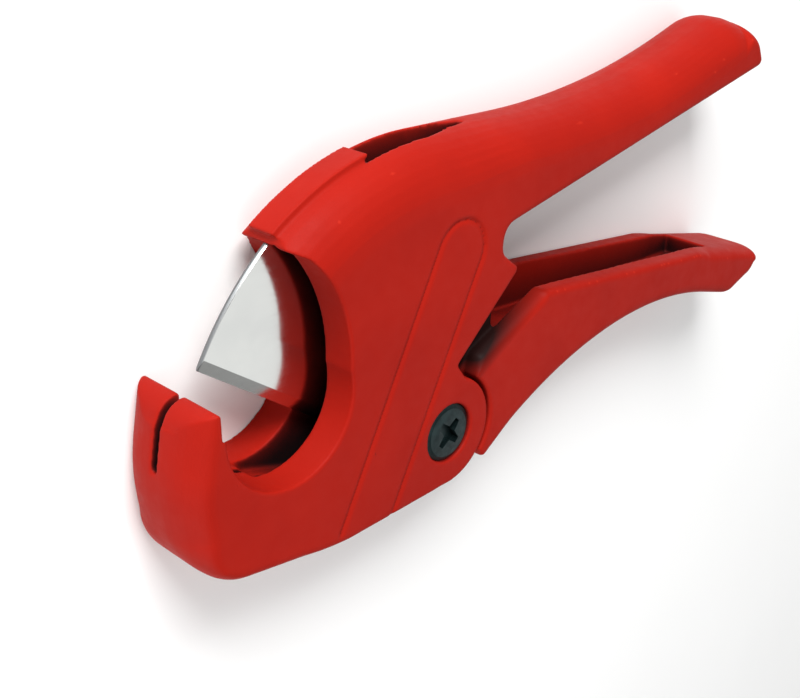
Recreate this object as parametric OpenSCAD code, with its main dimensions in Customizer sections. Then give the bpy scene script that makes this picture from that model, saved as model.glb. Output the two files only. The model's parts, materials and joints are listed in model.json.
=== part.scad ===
// One-hand pipe cutter: a cast body with a hooked jaw, a cast lever that carries
// the blade, and the pivot they share. The tool lies on its side: the blade is in
// a horizontal plane and the pivot is upright.

/* [Castings] */
// Half of the width of the castings, from the blade's plane to a side face
half_w = 11; // [10.5:0.5:12]
// Radius of the round boss at the pivot
boss_r = 12.2; // [12:0.1:12.8]
// Gap between the boss and the lever that wraps round it
boss_gap = 0.8; // [0.8:0.1:1.2]
// Thickness of the body's cheeks beside the lever's neck
cheek_t = 4.2; // [4:0.1:4.6]
// Width of the blade chamber between the cheeks at the mouth
chamber_w = 6.8; // [6:0.2:7.2]

/* [Mouth] */
// Radius of the round seat that holds the pipe
seat_r = 15; // [14.5:0.1:15.4]
// Width of the slot that the blade closes into
jaw_slot_w = 1.6; // [1.6:0.1:2.2]

/* [Blade] */
// Radius of the blade's round front edge about the pivot
blade_r = 62.8; // [62.4:0.1:62.8]
// Thickness of the blade
blade_t = 1.2; // [1.0:0.1:1.2]
// Width of the ground bevel along the cutting edge
bevel_w = 2.2; // [1.6:0.2:2.8]

/* [Pivot] */
// Diameter of the sleeve that the lever and the blade turn on
sleeve_d = 8; // [7.5:0.1:8.4]
// Diameter of the screw head and of the sleeve nut's head
head_d = 12.6; // [12:0.1:12.8]
// Diameter of the screw's shank
shank_d = 5; // [4.5:0.1:5.2]
// Clearance on the radius of every running fit
run_gap = 0.05; // [0.03:0.01:0.08]
// Diameter of the return spring's wire
wire_d = 1.2; // [1:0.1:1.3]

/* [Hidden] */
// An arc is cut into steps no longer than these
step_deg = 9;
step_len = 2.6;

cheek_in = half_w - cheek_t;
neck_half = cheek_in - 0.3;
chamber_half = chamber_w / 2;
lever_arc_r = boss_r + boss_gap;
chamber_r = blade_r + 0.3;
rib_half = 3.3;
slot_x0 = -17.5;
slot_x1 = 11.5;

// ---- outlines -------------------------------------------------------------------
// All outlines are drawn about the pivot, counter-clockwise: X towards the handles'
// ends, Y from the lever towards the upper handle. An outline point is [x, y,
// inward x, inward y, crown inset, crown depth]. The crown rounds the side face over
// towards the outline as a quarter of an ellipse.

function unit(v) = v / norm(v);
function cross2(a, b) = a[0] * b[1] - a[1] * b[0];
function polar(r, a) = [r * cos(a), r * sin(a)];

// Points along an arc; side is 1 where the material is inside the arc. The crown
// changes evenly from the first one to the second.
function arc(centre, r, a0, a1, side, crown, crown_end) =
    let (
        sweep = abs(a1 - a0),
        n = max(2, ceil(sweep / step_deg), ceil(r * sweep * PI / 180 / step_len)),
        last = is_undef(crown_end) ? crown : crown_end)
    [for (i = [0:n])
        let (d = polar(1, a0 + (a1 - a0) * i / n), c = crown + (last - crown) * i / n)
        [centre[0] + r * d[0], centre[1] + r * d[1], -side * d[0], -side * d[1], c[0], c[1]]];

// The corner b of the outline, between a and c, rounded to the radius r
function corner(a, b, c) =
    let (
        r = b[2],
        u = unit([a[0] - b[0], a[1] - b[1]]),
        v = unit([c[0] - b[0], c[1] - b[1]]),
        half = acos(u * v) / 2,
        mid = unit(u + v),
        centre = [b[0], b[1]] + mid * r / sin(half),
        left = cross2(-u, v) > 0,
        sweep = 180 - 2 * half,
        toward = atan2(-mid[1], -mid[0]),
        a0 = left ? toward - sweep / 2 : toward + sweep / 2,
        a1 = left ? toward + sweep / 2 : toward - sweep / 2)
    arc(centre, r, a0, a1, left ? 1 : -1, b[3], b[4]);

// A run of rounded corners; the first and last entries only give directions
function corners(list) =
    [for (i = [1:len(list) - 2]) each corner(list[i - 1], list[i], list[i + 1])];

function with(p, r, crown, crown_end) = [p[0], p[1], r, crown, crown_end];

function flat(outline) = [for (p = outline) [p[0], p[1]]];

function crown_inset(p, z) =
    let (t = half_w - abs(z), depth = min(p[5], half_w))
    t >= depth ? 0 : p[4] * (1 - sqrt(max(0, 1 - pow(1 - t / depth, 2))));

// Triangles that fill a counter-clockwise outline, cut off one corner at a time. A
// corner can be cut off where it is convex and holds no other point.
function side_of(a, b, p) = cross2(b - a, p - a);
function holds(a, b, c, p) =
    side_of(a, b, p) >= 0 && side_of(b, c, p) >= 0 && side_of(c, a, p) >= 0;
function blockers(pts, tri, ids) =
    [for (q = ids)
        if (q != tri[0] && q != tri[1] && q != tri[2]
            && holds(pts[tri[0]], pts[tri[1]], pts[tri[2]], pts[q])) q];
function at(ids, k) = let (n = len(ids)) [ids[(k + n - 1) % n], ids[k % n], ids[(k + 1) % n]];
function next_ear(pts, ids, k) =
    let (tri = at(ids, k))
    side_of(pts[tri[0]], pts[tri[1]], pts[tri[2]]) > 0 && len(blockers(pts, tri, ids)) == 0
        ? k % len(ids)
        : next_ear(pts, ids, k + 1);
function ears(pts, ids, k, done) =
    len(ids) == 3
        ? concat(done, [ids])
        : let (e = next_ear(pts, ids, k))
            ears(pts, [for (i = [0:len(ids) - 1]) if (i != e) ids[i]], e,
                 concat(done, [at(ids, e)]));

// A solid between the two side faces whose edges are rounded over by the crowns
module crowned(outline, levels) {
    n = len(outline);
    m = len(levels);
    points = [for (z = levels) for (p = outline)
        let (s = crown_inset(p, z))
        [p[0] + p[2] * s, p[1] + p[3] * s, z]];
    sides = [for (k = [0:m - 2]) for (i = [0:n - 1])
        let (j = (i + 1) % n, a = k * n + i, b = k * n + j, c = b + n, d = a + n)
        each [[a, c, b], [a, d, c]]];
    face = [for (i = [0:n - 1]) [points[i][0], points[i][1]]];
    cap = ears(face, [for (i = [0:n - 1]) i], 0, []);
    top = (m - 1) * n;
    lower = [for (t = cap) [t[0], t[1], t[2]]];
    upper = [for (t = cap) [top + t[0], top + t[2], top + t[1]]];
    polyhedron(points, concat(sides, lower, upper), convexity = 8);
}

half_levels = [2, 3.9, 5.6, 7.1, 8.4, 9.5, 10.3, 10.75];
levels = concat([-half_w], [for (i = [len(half_levels) - 1:-1:0]) -half_levels[i]],
                half_levels, [half_w]);

// A plate of the given outline between two heights
module plate(points, z0, z1) {
    translate([0, 0, z0]) linear_extrude(z1 - z0) polygon(points);
}

module disc(r, z0, z1) {
    translate([0, 0, z0]) cylinder(r = r, h = z1 - z0, $fn = 96);
}

// ---- body -----------------------------------------------------------------------
soft = [1.6, 1.6];
tight = [0.5, 0.5];
grip = [9.5, 10.6];
ridge = [12.5, 10.8];
front = [5.2, 9.6];
heel_crown = [2.6, 4.5];
rim = [1.4, 1.8];
slope = [2.4, 3.6];

seat_c = [-43, 20];
mouth_c = [-63.4, 24.6];
mouth_r = 35;
notch_deg = 68;
notch = [1.8, 15];
rear_corner = [19.8, 31.6];
crotch_low = [14.6, 36.4];
crotch_high = [15.2, 41.6];
handle_end = [111.6, 61.2];
end_top = [109.6, 69.8];
hump = [100.5, 73.7];
waist = [58, 60.6];
shoulder_top = [-8, 62.8];
nose_top = [-29.8, 58.4];
nose_tip = [-42.2, 49.9];
nose_under = [-36.6, 47.1];
jaw_in = [-58.7, 25.6];
jaw_out = [-64.2, 25.4];
jaw_front = [-66.6, 10];
jaw_low = [-64.6, -5];
jaw_heel = [-57, -10.6];
jaw_under = [-34, -14];

// The body without its mouth: the line of the nose runs on past its tip, and on down
// to the front of the jaw
nose_line = unit(nose_tip - nose_top);
front_top = nose_tip + 24 * nose_line;

body_outline = concat(
    arc([0, 0], boss_r, -86, notch_deg, 1, tight),
    corners([
        with(polar(boss_r, notch_deg), 1, soft),
        with(notch, 0.6, tight),
        with(rear_corner, 1.2, tight),
        with(crotch_low, 3, soft),
        with(crotch_high, 3.4, soft),
        with(handle_end, 1.8, soft),
        with(end_top, 7, [2.4, 6], [5, 9.5]),
        with(hump, 14, [8, 10.2], grip),
        with(waist, 215, grip),
        with(shoulder_top, 60, ridge),
        with(nose_top, 60, ridge),
        with(front_top, 14, ridge, front),
        with(jaw_front, 40, front),
        with(jaw_low, 13, front, heel_crown),
        with(jaw_heel, 12, heel_crown),
        with(jaw_under, 60, heel_crown, soft),
        with(polar(boss_r, -90), 1, soft)]));

// The mouth: the round seat for the pipe, and the arc that the nose ends in. The tip
// of the nose is blunt, and the tip of the jaw is round towards its front.
module mouth() {
    blunt = 0.4;
    blunt_tip = nose_tip + blunt * (nose_under - nose_tip);
    chamfer_low = blunt_tip + [0, 0.7];
    chamfer_high = blunt_tip + [1.6, 3.4];
    jaw_round = flat(arc(jaw_in + [-0.6, -5], 5, 170, 86, -1, soft));
    far_left = jaw_out[0] - 40;
    translate([seat_c[0], seat_c[1], -half_w - 1]) cylinder(r = seat_r, h = 2 * half_w + 2);
    intersection() {
        translate([mouth_c[0], mouth_c[1], -half_w - 1]) cylinder(r = mouth_r, h = 2 * half_w + 2);
        plate(concat([[jaw_in[0], seat_c[1]], [nose_under[0] + 20, seat_c[1]],
                      nose_under + 2 * (nose_under - nose_tip), blunt_tip, chamfer_low,
                      chamfer_high, chamfer_high + [0, 10], [far_left, chamfer_high[1] + 10],
                      [far_left, jaw_round[0][1]]], jaw_round),
              -half_w - 1, half_w + 1);
    }
}

// The rib over the blade's chamber, which stands a little proud of the nose
module nose_rib() {
    over = 0.7;
    intersection() {
        linear_extrude(2 * rib_half, center = true) difference() {
            translate([0, over]) polygon(flat(body_outline));
            circle(r = chamber_r - 3);
        }
        plate([[slot_x0, seat_c[1] + seat_r], [slot_x0, 80], [-80, 80], [-80, seat_c[1] + seat_r]],
              -rib_half, rib_half);
    }
}

// The chamber between the cheeks where the neck of the lever swings
module neck_chamber() {
    disc(11.5, -cheek_in, cheek_in);
    plate([[0, 0], polar(40, -64), [40, 0], [40, 24], [24, 30], [13, 34.5], [3, 35.5],
           [-10, 31.5], [-19, 24.5], [-17, 10], [-13, 1]], -cheek_in, cheek_in);
}

// The narrow chamber that the blade swings in, under the nose
module blade_chamber() {
    intersection() {
        disc(chamber_r, -chamber_half, chamber_half);
        plate([[0, -10], [15, 24], [11, 53], [slot_x0, 56], [slot_x0, 70], [-70, 70], [-70, 30],
               [-44, 2.6]], -chamber_half, chamber_half);
    }
}

// The slot in the top that the back of the blade comes up through, pointed at one end
module top_slot() {
    half = chamber_half - 0.1;
    translate([0, 50, 0]) rotate([-90, 0, 0]) linear_extrude(30)
        polygon([[slot_x0, -half], [slot_x1 - 13, -half], [slot_x1, -0.5], [slot_x1, 0.5],
                 [slot_x1 - 13, half], [slot_x0, half]]);
}

// The hollow of the upper handle, open towards the lever
module handle_channel() {
    rim0 = crotch_high + [8, 0];
    rim1 = handle_end - [5, 3];
    plate([rim0 - [0, 6], rim1 - [0, 6], rim1 + [0, 4], hump - [10, 8], waist + [12, -3.2],
           waist - [22, 4.2], rim0 + [1, 9]], -6.2, 6.2);
}

// The groove round a band with a round end, which crosses the near side
band_top = [1.2, 39.5];
band_dir = unit([15.5, 32]);
band_r = 6.8;
band_len = 60;
groove_w = 0.8;
groove_depth = 0.6;
// The straight sides start this far inside the round end, and so cross it at an angle
tuck = 0.05;

module band(r) {
    across = (r - tuck) * [band_dir[1], -band_dir[0]];
    foot = band_top - band_len * band_dir;
    translate(band_top) circle(r = r, $fn = 64);
    polygon([band_top + across, band_top - across, foot - across, foot + across]);
}

module band_groove() {
    translate([0, 0, half_w - groove_depth]) linear_extrude(1 + groove_depth) difference() {
        band(band_r + groove_w / 2);
        band(band_r - groove_w / 2);
    }
}

// The slot in the jaw; it is deeper behind the wall at the front
module jaw_slot() {
    plate([[-70, 12.5], [-70, 30], [-50, 30], [-40, 0], [-56, 2], [-64.4, 6.5], [-64.4, 12.5]],
          -jaw_slot_w / 2, jaw_slot_w / 2);
}

module body() {
    color("firebrick") {
        difference() {
            union() {
                crowned(body_outline, levels);
                nose_rib();
            }
            mouth();
            neck_chamber();
            blade_chamber();
            top_slot();
            jaw_slot();
            handle_channel();
            band_groove();
            disc(sleeve_d / 2 + run_gap, -half_w - 1, half_w + 1);
            disc(head_d / 2 + 0.2, head_floor, half_w + 1);
            disc(head_d / 2 + 0.2, -half_w - 1, -head_floor);
            anchor_hole();
        }
    }
}

// ---- lever ----------------------------------------------------------------------
lever_low = [11.4, -10.6];
underside = [58.9, 15.2];
lever_arc_deg = 56;
tip_low = [111, 0.3];
tip_end = [123.6, 1.8];
tip_top = [127, 9.4];
rim_end = [97, 15.9];
shoulder_high = [30.1, 23.5];
shoulder_low = [9.6, 14.5];

lever_outline = concat(
    corners([
        with(polar(lever_arc_r, -38), 1, soft),
        with(lever_low, 1, [0.8, 1]),
        with(underside, 104, [2.4, 2.4]),
        with(tip_low, 8, [2.4, 2.4]),
        with(tip_end, 7, [4, 7]),
        with(tip_top, 3, [2.8, 7]),
        with(rim_end, 60, [2.8, 5], rim),
        with(shoulder_high, 3, rim, slope),
        with(shoulder_low, 2.6, slope),
        with(polar(lever_arc_r, lever_arc_deg), 1, soft)]),
    arc([0, 0], lever_arc_r, lever_arc_deg - 4, -38, -1, tight));

// The narrow neck that joins the lever to its hub between the body's cheeks
module neck() {
    disc(11, -neck_half, neck_half);
    plate([polar(11, -40), [13, -8], [22, 0], [34, 14], [30, 23.2], [14, 27], [4, 30.5],
           [-6, 27.5], [-10.9, 2]], -neck_half, neck_half);
}

// The hollow of the lever, open towards the upper handle
module lever_channel() {
    x0 = 17;
    x1 = 104;
    half0 = 6.9;
    half1 = 5.8;
    intersection() {
        plate([[x0, 40], [x0, 17], [34, 12.5], [66, 10.5], [x1, 9.5], [x1, 40]], -half_w, half_w);
        translate([0, 50, 0]) rotate([90, 0, 0]) linear_extrude(60)
            polygon([[x0, -half0], [x1, -half1], [x1, half1], [x0, half0]]);
    }
}

module lever() {
    color("firebrick") {
        difference() {
            union() {
                crowned(lever_outline, levels);
                neck();
            }
            lever_channel();
            plate(blade_pocket, -blade_t / 2 - 0.05, blade_t / 2 + 0.05);
            disc(sleeve_d / 2 + run_gap, -half_w, half_w);
            disc(washer_r + 0.3, hub_near, half_w);
            disc(spring_r + wire_d, -half_w, hub_far);
            spring_slot();
            rivet_holes();
        }
    }
}

// ---- blade ----------------------------------------------------------------------
edge_drop = 8;
edge_slope = 34.8;
edge_t = 0.2;
edge_n = [sin(edge_slope), cos(edge_slope)];
edge_u = [-cos(edge_slope), sin(edge_slope)];
heel_deg = 109.5;
heel = polar(blade_r, heel_deg);
tail = [2, 28.5];
tail_in = [8.8, 9];
hub_r = 9;
front_bevel = 0.35;
front_t = 0.5;

blade_pocket = [[-14, -8], [0, -14], [13, -3], [11, 12], [4, 32], [-12, 30]];

rivets = [[-1.6, 17.4], [-0.6, 24.4]];
rivet_d = 4;

// The blade's sides; its round front and its straight edge are cut from these
module blade_blank() {
    disc(hub_r, -blade_t, blade_t);
    plate([tail_in, tail, tail + 1.3 * (heel - tail), polar(2 * blade_r, 130),
           polar(2 * blade_r, 165), 3 * edge_u - (edge_drop + 2) * edge_n], -blade_t, blade_t);
}

// A slab that thins to the cutting edge on both sides
module ground_slab() {
    slab = [[edge_drop, -edge_t / 2], [edge_drop, edge_t / 2], [edge_drop - bevel_w, blade_t / 2],
            [-blade_r, blade_t / 2], [-blade_r, -blade_t / 2], [edge_drop - bevel_w, -blade_t / 2]];
    rotate([0, 0, 180 - edge_slope]) translate([-2 * hub_r, 0, 0]) rotate([90, 0, 90])
        linear_extrude(2 * blade_r) polygon(slab);
}

// A disc whose rim, the blade's round front, is bevelled on both sides
module bevelled_disc() {
    half_in = blade_t - front_t / 2;
    r_in = blade_r - 2 * front_bevel;
    rotate_extrude($fn = 96)
        polygon([[0, -half_in], [r_in, -half_in], [blade_r, -front_t / 2], [blade_r, front_t / 2],
                 [r_in, half_in], [0, half_in]]);
}

module rivet_holes() {
    for (p = rivets) translate([p[0], p[1], -half_w]) cylinder(d = rivet_d, h = 2 * half_w);
}

module blade() {
    color("silver") {
        difference() {
            intersection() {
                blade_blank();
                ground_slab();
                bevelled_disc();
            }
            disc(sleeve_d / 2 + run_gap, -half_w, half_w);
            rivet_holes();
        }
    }
}

// ---- pivot ----------------------------------------------------------------------
head_floor = half_w - 2.4;
head_top = half_w - 0.15;
washer_r = 6;
washer_t = 0.6;
hub_near = cheek_in - washer_t - 0.1;
hub_far = -2.9;
spring_r = 7;
bush_r = 5.6;
recess_reach = 3.5;
recess_tip = 0.7;
recess_root = 1.15;
recess_depth = 1.8;
slot_reach = 3.6;
slot_half = 0.6;
slot_depth = 1.2;

// A cross with four arms that narrow from the root to their tips
cross_outline = [for (k = [0:3])
    let (turned = 45 + 90 * k, half = atan2(recess_tip, recess_reach), r = norm([recess_reach, recess_tip]))
    each [polar(r, turned - half), polar(r, turned + half), polar(recess_root * sqrt(2), turned + 45)]];

// Countersunk-looking screw head with a cross recess
module pivot_screw() {
    color("darkslategray") {
        difference() {
            union() {
                disc(head_d / 2, head_floor, head_top - 0.7);
                translate([0, 0, head_top - 0.7])
                    rotate_extrude($fn = 96) polygon([[0, 0], [head_d / 2, 0], [head_d / 2 - 0.9, 0.5],
                                                      [head_d / 4, 0.7], [0, 0.7]]);
                disc(shank_d / 2 - 0.02, -7.4, head_floor);
            }
            plate(cross_outline, head_top - recess_depth, half_w);
        }
    }
}

// Flanged sleeve nut that the screw is turned into from the near side
module sleeve_nut() {
    color("darkslategray") {
        difference() {
            union() {
                disc(head_d / 2, -head_top, -head_floor);
                disc(sleeve_d / 2, -head_floor, head_floor - 0.2);
            }
            disc(shank_d / 2, -7.6, half_w);
            for (a = [0, 90])
                rotate([0, 0, a]) translate([-slot_reach, -slot_half, -half_w - 1])
                    cube([2 * slot_reach, 2 * slot_half, 1 + slot_depth]);
        }
    }
}

module spacer_bush() {
    color("goldenrod") {
        difference() {
            disc(bush_r, -cheek_in + washer_t + 0.06, hub_far - 0.04);
            disc(sleeve_d / 2 + run_gap, -half_w, half_w);
        }
    }
}

module washer(z) {
    difference() {
        disc(washer_r, z, z + washer_t);
        disc(sleeve_d / 2 + run_gap, z - 1, z + washer_t + 1);
    }
}

module thrust_washers() {
    color("silver") {
        washer(hub_near + 0.05);
        washer(-cheek_in + 0.02);
    }
}

module blade_rivets() {
    color("silver") {
        for (p = rivets)
            translate([p[0], p[1], -neck_half])
                cylinder(d = rivet_d - 0.02, h = 2 * neck_half, $fn = 48);
    }
}

// ---- return spring --------------------------------------------------------------
coil_turns = 2;
coil_z0 = -cheek_in + 0.75;
coil_pitch = wire_d + 0.12;
coil_a0 = 200;
coil_steps = 20;

anchor_xy = polar(spring_r, coil_a0);
coil_a1 = coil_a0 + 360 * coil_turns - 110;
coil_z1 = coil_z0 + coil_pitch * (coil_a1 - coil_a0) / 360;
leg_end = polar(spring_r, coil_a1) + 9.5 * polar(1, coil_a1 + 90);

spring_path = concat(
    [[anchor_xy[0], anchor_xy[1], -cheek_in - 2.2]],
    [for (i = [0:ceil(coil_steps * (coil_a1 - coil_a0) / 360)])
        let (a = min(coil_a0 + i * 360 / coil_steps, coil_a1), p = polar(spring_r, a))
        [p[0], p[1], coil_z0 + coil_pitch * (a - coil_a0) / 360]],
    [[leg_end[0], leg_end[1], coil_z1]]);

// A round wire swept along a path of points
module wire(path, d) {
    n = len(path);
    k = 10;
    dirs = [for (i = [0:n - 1]) unit(path[min(i + 1, n - 1)] - path[max(i - 1, 0)])];
    rings = [for (i = [0:n - 1])
        let (t = dirs[i],
             ref = abs(t[2]) > 0.8 ? [anchor_xy[0], anchor_xy[1], 0] : [0, 0, 1],
             u = unit(cross(t, ref)), v = cross(t, u))
        for (j = [0:k - 1]) path[i] + d / 2 * (cos(360 * j / k) * u + sin(360 * j / k) * v)];
    sides = [for (i = [0:n - 2]) for (j = [0:k - 1])
        let (a = i * k + j, b = i * k + (j + 1) % k, c = b + k, e = a + k)
        each [[a, b, c], [a, c, e]]];
    first = [for (j = [k - 1:-1:0]) j];
    last = [for (j = [0:k - 1]) (n - 1) * k + j];
    polyhedron(rings, concat(sides, [first], [last]), convexity = 6);
}

module return_spring() {
    color("dimgray") wire(spring_path, wire_d);
}

// The hole in the far cheek that the spring's bent end sits in
module anchor_hole() {
    translate([anchor_xy[0], anchor_xy[1], -cheek_in - 2.6]) cylinder(d = wire_d + 0.5, h = 4, $fn = 32);
}

// The groove in the neck that the spring's straight leg pushes on
module spring_slot() {
    side = polar(1, coil_a1 + 90);
    away = polar(1, coil_a1);
    start = polar(spring_r, coil_a1);
    plate([start - 1.2 * away, start - 1.2 * away + 10.4 * side, start + 1.2 * away + 10.4 * side,
           start + 1.2 * away], -half_w, coil_z1 + wire_d / 2 + 0.3);
}

// The finished tool is moved so that the origin is under its middle, on the surface
// that it lies on
reach = flat(concat(body_outline, lever_outline));
reach_x = [for (p = reach) p[0]];
reach_y = [for (p = reach) p[1]];
place = [-(min(reach_x) + max(reach_x)) / 2, -(min(reach_y) + max(reach_y)) / 2, half_w];

translate(place) body();
translate(place) lever();
translate(place) blade();
translate(place) pivot_screw();
translate(place) sleeve_nut();
translate(place) spacer_bush();
translate(place) thrust_washers();
translate(place) return_spring();
translate(place) blade_rivets();
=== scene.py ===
"""A one-hand pipe cutter lying on its side: red cast body and lever, steel blade, dark pivot screw."""

import json

import bpy
from mathutils import Matrix, Vector


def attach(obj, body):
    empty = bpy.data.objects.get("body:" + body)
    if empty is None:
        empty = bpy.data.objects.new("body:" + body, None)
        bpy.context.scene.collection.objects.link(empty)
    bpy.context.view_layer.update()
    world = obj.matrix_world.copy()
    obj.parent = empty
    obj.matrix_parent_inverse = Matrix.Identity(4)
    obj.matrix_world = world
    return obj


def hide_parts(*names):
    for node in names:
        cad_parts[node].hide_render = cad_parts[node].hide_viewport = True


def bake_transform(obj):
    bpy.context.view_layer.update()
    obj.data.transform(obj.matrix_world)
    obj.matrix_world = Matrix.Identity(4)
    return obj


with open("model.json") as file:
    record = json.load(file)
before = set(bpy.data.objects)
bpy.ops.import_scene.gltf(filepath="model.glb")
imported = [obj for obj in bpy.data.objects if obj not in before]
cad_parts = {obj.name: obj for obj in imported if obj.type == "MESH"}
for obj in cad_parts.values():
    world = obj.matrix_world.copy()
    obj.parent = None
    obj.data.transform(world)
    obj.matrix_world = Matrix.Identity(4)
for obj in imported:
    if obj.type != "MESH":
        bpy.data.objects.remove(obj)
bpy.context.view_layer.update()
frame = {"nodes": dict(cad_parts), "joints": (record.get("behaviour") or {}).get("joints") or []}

MM = 0.001
PIVOT = Vector(frame["joints"][0]["pos_m"])
TOOL_MIDDLE = Vector((0, 0, 10 * MM))

# The castings are remeshed with voxels of this size, and smoothed this many times.
CAST_VOXEL = 0.34 * MM
CAST_PASSES = 5
# Then each is thinned to about this many triangles, and smoothed a little more.
CAST_TRIANGLES = 180_000
SETTLE_PASSES = 2

# Beyond this plane lie the lever's neck and shoulder, which work against the body; they get a painted
# shadow where the body's edge shades them.
SHOULDER = PIVOT + Vector((10.6, 12.1, 0.0)) * MM
NECK_SIDE = Vector((-0.515, 0.857, 0.0))
NECK_FADE_MM = 3.2

# The blade's round front edge is ground rough and coloured dark over this width.
BLADE_RIM_MM = 0.4

# The camera stands here from the pivot, looks this way, and has this direction up in its picture.
CAMERA_STAND_MM = Vector((-173.4, 125.3, 160.0))
CAMERA_LOOK = Vector((0.6588, -0.4219, -0.6229))
CAMERA_UP = Vector((0.2864, 0.9063, -0.3109))
SENSOR_WIDTH = 36.0
FOCAL_LENGTH = 56.25

RED = (0.330, 0.0095, 0.0042)
DEEP_RED = (0.262, 0.0074, 0.0040)
# Lighter paint along sharp edges: partly wear, partly a painted highlight.
WORN_AND_HIGHLIT_EDGE_RED = (0.41, 0.019, 0.009)
# Painted shade for the enamel's slots and hollows.
RECESS_SHADE = (0.0055, 0.0035, 0.0038)
# Painted shadow on the lever's neck and shoulder, under the body's edge.
NECK_SHADOW = (0.0125, 0.0040, 0.0036)
STEEL = (0.645, 0.655, 0.635)
DULL_STEEL = (0.565, 0.575, 0.565)
DARK_RIM_STEEL = (0.19, 0.195, 0.20)
BRIGHT = (0.60, 0.61, 0.62)
DULL_BRIGHT = (0.45, 0.46, 0.47)
OXIDE = (0.006, 0.015, 0.016)
PALE_OXIDE = (0.013, 0.029, 0.030)
WORN_OXIDE = (0.06, 0.085, 0.085)
SPRING = (0.10, 0.10, 0.11)
DARK_SPRING = (0.05, 0.05, 0.055)
BRASS = (0.70, 0.50, 0.20)
DARK_BRASS = (0.5, 0.33, 0.12)
FLOOR = (0.95, 0.95, 0.945)
GREY_FLOOR = (0.935, 0.935, 0.93)

# Painted shade in the enamel's slots and hollows: how far a hollow's walls are looked for, and its
# openness, from full painted shade to none.
HOLLOW_REACH_MM = 14.0
HOLLOW_OPENNESS = (0.33, 0.83)
# How sharp an edge is where each finish begins to look lighter, and where it is lightest.
ENAMEL_EDGE = (0.57, 0.68)
OXIDE_EDGE = (0.53, 0.64)

# Marks on the metal: the turn of the pattern, and its scale on each axis. A small scale draws it out.
GRINDING = ((0.0, 0.0, 0.607), (0.04, 2.2, 1.0))
TURNING = ((0, 0, 0), (1, 1, 6))
GROUND_ROUGHNESS = 0.42


# ---- materials ------------------------------------------------------------------

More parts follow.
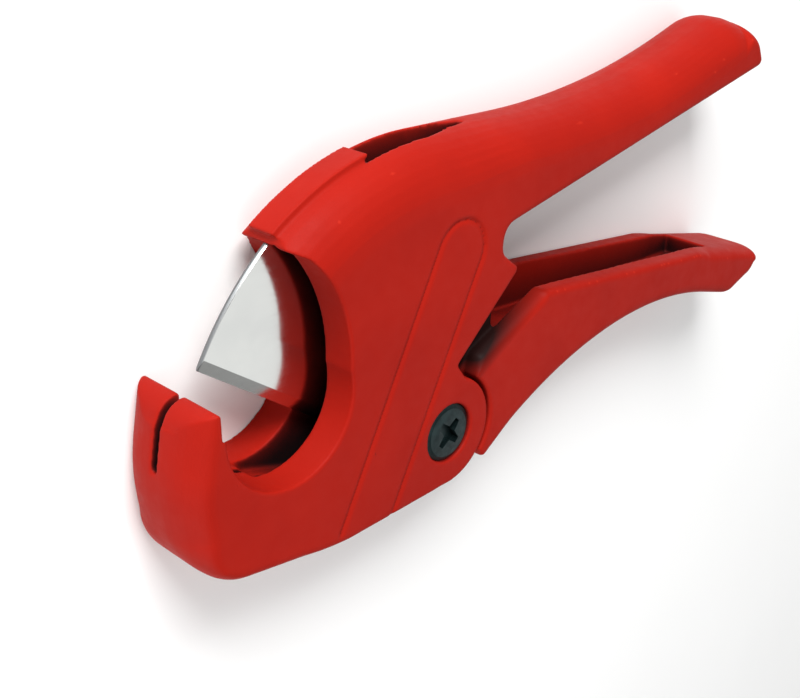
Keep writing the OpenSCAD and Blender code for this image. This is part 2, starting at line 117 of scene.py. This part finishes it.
class Material:
    """A node material whose pattern is placed in millimetres on the object."""

    def __init__(self, name):
        self.data = bpy.data.materials.new(name)
        self.data.use_nodes = True
        self.nodes = self.data.node_tree.nodes
        self.links = self.data.node_tree.links
        self.shader = self.nodes["Principled BSDF"]
        place = self.nodes.new("ShaderNodeTexCoord")
        scale = self.nodes.new("ShaderNodeVectorMath")
        scale.operation = "SCALE"
        scale.inputs["Scale"].default_value = 1 / MM
        self.links.new(place.outputs["Object"], scale.inputs[0])
        self.mm = scale.outputs["Vector"]

    def set(self, name, value):
        self.shader.inputs[name].default_value = value

    def noise(self, size_mm, detail=3.0, roughness=0.55, stretch=None):
        """Noise whose features are about this many millimetres across.

        stretch is a rotation and a scale that draw the features out into lines.
        """
        node = self.nodes.new("ShaderNodeTexNoise")
        node.inputs["Scale"].default_value = 1 / size_mm
        node.inputs["Detail"].default_value = detail
        node.inputs["Roughness"].default_value = roughness
        source = self.mm
        if stretch:
            rotation, factors = stretch
            mapping = self.nodes.new("ShaderNodeMapping")
            mapping.inputs["Rotation"].default_value = rotation
            mapping.inputs["Scale"].default_value = factors
            self.links.new(source, mapping.inputs["Vector"])
            source = mapping.outputs["Vector"]
        self.links.new(source, node.inputs["Vector"])
        return node.outputs["Fac"]

    def remap(self, value, low, high, new_low, new_high):
        """Carries the range from low to high over to the one from new_low to new_high."""
        node = self.nodes.new("ShaderNodeMapRange")
        node.inputs["From Min"].default_value = low
        node.inputs["From Max"].default_value = high
        node.inputs["To Min"].default_value = new_low
        node.inputs["To Max"].default_value = new_high
        self.links.new(value, node.inputs["Value"])
        return node.outputs["Result"]

    def larger(self, first, second):
        node = self.nodes.new("ShaderNodeMath")
        node.operation = "MAXIMUM"
        self.links.new(first, node.inputs[0])
        self.links.new(second, node.inputs[1])
        return node.outputs["Value"]

    def mix(self, factor, first, second):
        """Goes from the first colour to the second as the factor goes from 0 to 1."""
        node = self.nodes.new("ShaderNodeMix")
        node.data_type = "RGBA"
        self.links.new(factor, node.inputs[0])
        for socket, colour in ((node.inputs[6], first), (node.inputs[7], second)):
            if isinstance(colour, tuple):
                socket.default_value = (*colour, 1.0)
            else:
                self.links.new(colour, socket)
        return node.outputs[2]

    def beyond(self, point, direction, fade_mm):
        """Rises from 0 to 1 across the plane through a point in metres, along a direction."""
        node = self.nodes.new("ShaderNodeVectorMath")
        node.operation = "DOT_PRODUCT"
        node.inputs[1].default_value = direction
        self.links.new(self.mm, node.inputs[0])
        middle = point.dot(direction) / MM
        return self.remap(node.outputs["Value"], middle - fade_mm / 2, middle + fade_mm / 2, 0.0, 1.0)

    def away_from(self, point, near_mm, far_mm):
        """Rises from 0 to 1 between two distances from a point in metres."""
        node = self.nodes.new("ShaderNodeVectorMath")
        node.operation = "DISTANCE"
        node.inputs[1].default_value = point / MM
        self.links.new(self.mm, node.inputs[0])
        return self.remap(node.outputs["Value"], near_mm, far_mm, 0.0, 1.0)

    def shaded_recesses(self, reach_mm, low, high):
        """Rises from 0 to 1 in the slots and hollows of the object itself, where the enamel gets its
        painted shade.
        """
        node = self.nodes.new("ShaderNodeAmbientOcclusion")
        node.only_local = True
        node.samples = 8
        node.inputs["Distance"].default_value = reach_mm * MM
        return self.remap(node.outputs["AO"], low, high, 1.0, 0.0)

    def edges(self, low, high):
        """Rises from 0 to 1 where the surface is sharply convex."""
        node = self.nodes.new("ShaderNodeNewGeometry")
        return self.remap(node.outputs["Pointiness"], low, high, 0.0, 1.0)

    def colour(self, socket):
        self.links.new(socket, self.shader.inputs["Base Color"])

    def rough(self, socket):
        self.links.new(socket, self.shader.inputs["Roughness"])

    def bump(self, *layers):
        """Each layer is a height between 0 and 1 and its depth in millimetres."""
        last = None
        for height, depth_mm in layers:
            node = self.nodes.new("ShaderNodeBump")
            node.inputs["Strength"].default_value = 1.0
            node.inputs["Distance"].default_value = depth_mm * MM
            self.links.new(height, node.inputs["Height"])
            if last:
                self.links.new(last, node.inputs["Normal"])
            last = node.outputs["Normal"]
        self.links.new(last, self.shader.inputs["Normal"])


def enamel(name, shadow_plane=None):
    """Satin red enamel over a fine casting texture: lighter along the edges, partly as worn paint and
    partly as a painted highlight, with painted shade in the recesses.

    The last argument is a point and a direction: a painted shadow darkens the casting beyond that plane.
    """
    m = Material(name)
    cloud = m.remap(m.noise(26.0, 4.0), 0.35, 0.65, 0.0, 0.6)
    # Lighter along sharp edges: partly worn paint, partly a painted highlight.
    worn = m.mix(m.edges(*ENAMEL_EDGE), m.mix(cloud, RED, DEEP_RED), WORN_AND_HIGHLIT_EDGE_RED)
    # Painted shade: the enamel goes dark in the object's own slots and hollows.
    shaded_paint = m.mix(m.shaded_recesses(HOLLOW_REACH_MM, *HOLLOW_OPENNESS), worn, RECESS_SHADE)
    # Painted shadow on the lever's neck, beyond the shoulder plane.
    if shadow_plane:
        shaded_paint = m.mix(m.beyond(*shadow_plane, NECK_FADE_MM), shaded_paint, NECK_SHADOW)
    m.colour(shaded_paint)
    m.rough(m.remap(m.noise(3.2, 5.0), 0.3, 0.7, 0.46, 0.58))
    m.set("Specular IOR Level", 0.06)
    m.bump((m.noise(0.9, 3.0), 0.022), (m.noise(0.32, 2.0), 0.010))
    return m.data


def blade_steel(reach_mm):
    """Polished flat with fine grinding lines along the cutting edge, and a dull round front edge."""
    m = Material("blade_steel")
    lines = m.noise(0.5, 4.0, 0.6, stretch=GRINDING)
    stain = m.noise(9.0, 4.0)
    flat = m.mix(m.remap(stain, 0.35, 0.7, 0.0, 0.5), STEEL, DULL_STEEL)
    rim = m.away_from(PIVOT, reach_mm - BLADE_RIM_MM, reach_mm - BLADE_RIM_MM / 2)
    m.colour(m.mix(rim, flat, DARK_RIM_STEEL))
    polished = m.remap(lines, 0.3, 0.7, 0.07, 0.15)
    ground = m.remap(rim, 0.0, 1.0, 0.0, GROUND_ROUGHNESS)
    m.rough(m.larger(polished, ground))
    m.set("Metallic", 1.0)
    m.bump((lines, 0.0025))
    return m.data


def dark_oxide():
    """Blackened steel, worn bright in places along the edges."""
    m = Material("dark_oxide")
    worn = m.edges(*OXIDE_EDGE)
    patch = m.mix(m.remap(m.noise(2.4, 4.0), 0.4, 0.65, 0.0, 1.0), OXIDE, PALE_OXIDE)
    m.colour(m.mix(worn, patch, WORN_OXIDE))
    m.rough(m.remap(m.noise(1.1, 3.0), 0.3, 0.7, 0.30, 0.48))
    m.set("Metallic", 0.75)
    m.bump((m.noise(0.5, 3.0), 0.012))
    return m.data


def turned(name, colour, dark, roughness):
    """Turned or drawn metal with fine marks."""
    m = Material(name)
    m.colour(m.mix(m.remap(m.noise(3.0, 4.0), 0.35, 0.7, 0.0, 0.6), colour, dark))
    m.rough(m.remap(m.noise(0.6, 3.0), 0.3, 0.7, roughness - 0.06, roughness + 0.08))
    m.set("Metallic", 1.0)
    m.bump((m.noise(0.25, 2.0, stretch=TURNING), 0.004))
    return m.data


def floor_paint():
    """Matt white paint with a very faint cloud."""
    m = Material("floor_paint")
    m.colour(m.mix(m.remap(m.noise(90.0, 2.0), 0.3, 0.7, 0.0, 1.0), FLOOR, GREY_FLOOR))
    m.rough(m.remap(m.noise(14.0, 2.0), 0.3, 0.7, 0.72, 0.80))
    return m.data


def dress(obj, material):
    obj.data.materials.clear()
    obj.data.materials.append(material)


# ---- pieces ---------------------------------------------------------------------

def apply_modifiers(obj):
    """Turns the object's modifiers into mesh."""
    graph = bpy.context.evaluated_depsgraph_get()
    mesh = bpy.data.meshes.new_from_object(obj.evaluated_get(graph))
    obj.modifiers.clear()
    obj.data = mesh


def casting(node, body, material):
    """A node's shape with the soft edges of a casting."""
    obj = bpy.data.objects.new(node + "_casting", frame["nodes"][node].data.copy())
    bpy.context.scene.collection.objects.link(obj)
    remesh = obj.modifiers.new("remesh", "REMESH")
    remesh.mode = "VOXEL"
    remesh.voxel_size = CAST_VOXEL
    remesh.use_smooth_shade = True
    smooth = obj.modifiers.new("smooth", "SMOOTH")
    smooth.factor = 0.5
    smooth.iterations = CAST_PASSES
    apply_modifiers(obj)
    thin = obj.modifiers.new("thin", "DECIMATE")
    thin.ratio = min(1.0, CAST_TRIANGLES / (2 * len(obj.data.polygons)))
    settle = obj.modifiers.new("settle", "SMOOTH")
    settle.factor = 0.5
    settle.iterations = SETTLE_PASSES
    apply_modifiers(obj)
    dress(obj, material)
    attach(obj, body)
    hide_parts(node)


def twisting_spring(node, material):
    """The return spring between the frame and the lever, its wire rounded and smoothly shaded."""
    obj = bpy.data.objects.new(node + "_coils", frame["nodes"][node].data.copy())
    bpy.context.scene.collection.objects.link(obj)
    rounder = obj.modifiers.new("rounder", "SUBSURF")
    rounder.levels = 1
    rounder.render_levels = 1
    apply_modifiers(obj)
    obj.data.shade_smooth()
    dress(obj, material)
    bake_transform(obj)
    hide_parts(node)


# ---- stage ----------------------------------------------------------------------

def add_floor(material):
    """A wide floor a hair's breadth under the tool, so that the two are never in one plane."""
    size = 4.0
    height = -0.1 * MM
    signs = ((-1, -1), (1, -1), (1, 1), (-1, 1))
    mesh = bpy.data.meshes.new("floor")
    mesh.from_pydata([(x * size, y * size, height) for x, y in signs], [], [(0, 1, 2, 3)])
    obj = bpy.data.objects.new("floor", mesh)
    bpy.context.scene.collection.objects.link(obj)
    dress(obj, material)


def aimed(name, data, place, target, roll_up=Vector((0, 0, 1))):
    """An object at place whose local -Z points at target."""
    obj = bpy.data.objects.new(name, data)
    bpy.context.scene.collection.objects.link(obj)
    back = (place - target).normalized()
    right = roll_up.cross(back).normalized()
    up = back.cross(right)
    turn = Matrix((right, up, back)).transposed().to_4x4()
    obj.matrix_world = Matrix.Translation(place) @ turn
    return obj


def add_light(name, place_mm, size_mm, power):
    """A soft white panel turned to the middle of the tool."""
    data = bpy.data.lights.new(name, "AREA")
    data.shape = "RECTANGLE"
    data.size = size_mm[0] * MM
    data.size_y = size_mm[1] * MM
    data.energy = power
    aimed(name, data, Vector(place_mm) * MM, TOOL_MIDDLE)


def add_world(strength):
    world = bpy.data.worlds.new("studio")
    bpy.context.scene.world = world
    world.use_nodes = True
    background = world.node_tree.nodes["Background"]
    background.inputs["Color"].default_value = (1, 1, 1, 1)
    background.inputs["Strength"].default_value = strength


def add_camera():
    """In front of the jaw, above and to the side, rolled so that the handles rise to the right."""
    data = bpy.data.cameras.new("camera")
    data.sensor_fit = "HORIZONTAL"
    data.sensor_width = SENSOR_WIDTH
    data.lens = FOCAL_LENGTH
    data.clip_start = 10 * MM
    place = PIVOT + CAMERA_STAND_MM * MM
    bpy.context.scene.camera = aimed("camera", data, place, place + CAMERA_LOOK, CAMERA_UP)
    bpy.context.scene.view_settings.view_transform = "Standard"


add_camera()
add_world(0.38)
add_light("key", (-260, 620, 380), (360, 360), 8.6)
add_light("front_fill", (-420, 60, 520), (500, 500), 0.8)
add_light("blade_fill", (350, -250, 400), (480, 480), 0.55)
add_light("low_fill", (-350, -350, 120), (300, 300), 0.9)
add_floor(floor_paint())

blade_points = [Vector(v.co) for v in frame["nodes"]["blade"].data.vertices]
blade_reach_mm = max((p - PIVOT).length for p in blade_points) / MM

bright = turned("bright_steel", BRIGHT, DULL_BRIGHT, 0.28)
for node, material in (
    ("blade", blade_steel(blade_reach_mm)),
    ("pivot_screw", dark_oxide()),
    ("sleeve_nut", dark_oxide()),
    ("spacer_bush", turned("bush_brass", BRASS, DARK_BRASS, 0.32)),
    ("thrust_washers", bright),
    ("blade_rivets", bright),
):
    dress(frame["nodes"][node], material)

twisting_spring("return_spring", turned("spring_steel", SPRING, DARK_SPRING, 0.34))
casting("body", "frame", enamel("red_enamel"))
# The lever's neck gets a painted shadow beyond the shoulder plane.
casting("lever", "lever", enamel("red_enamel_lever", shadow_plane=(SHOULDER, NECK_SIDE)))
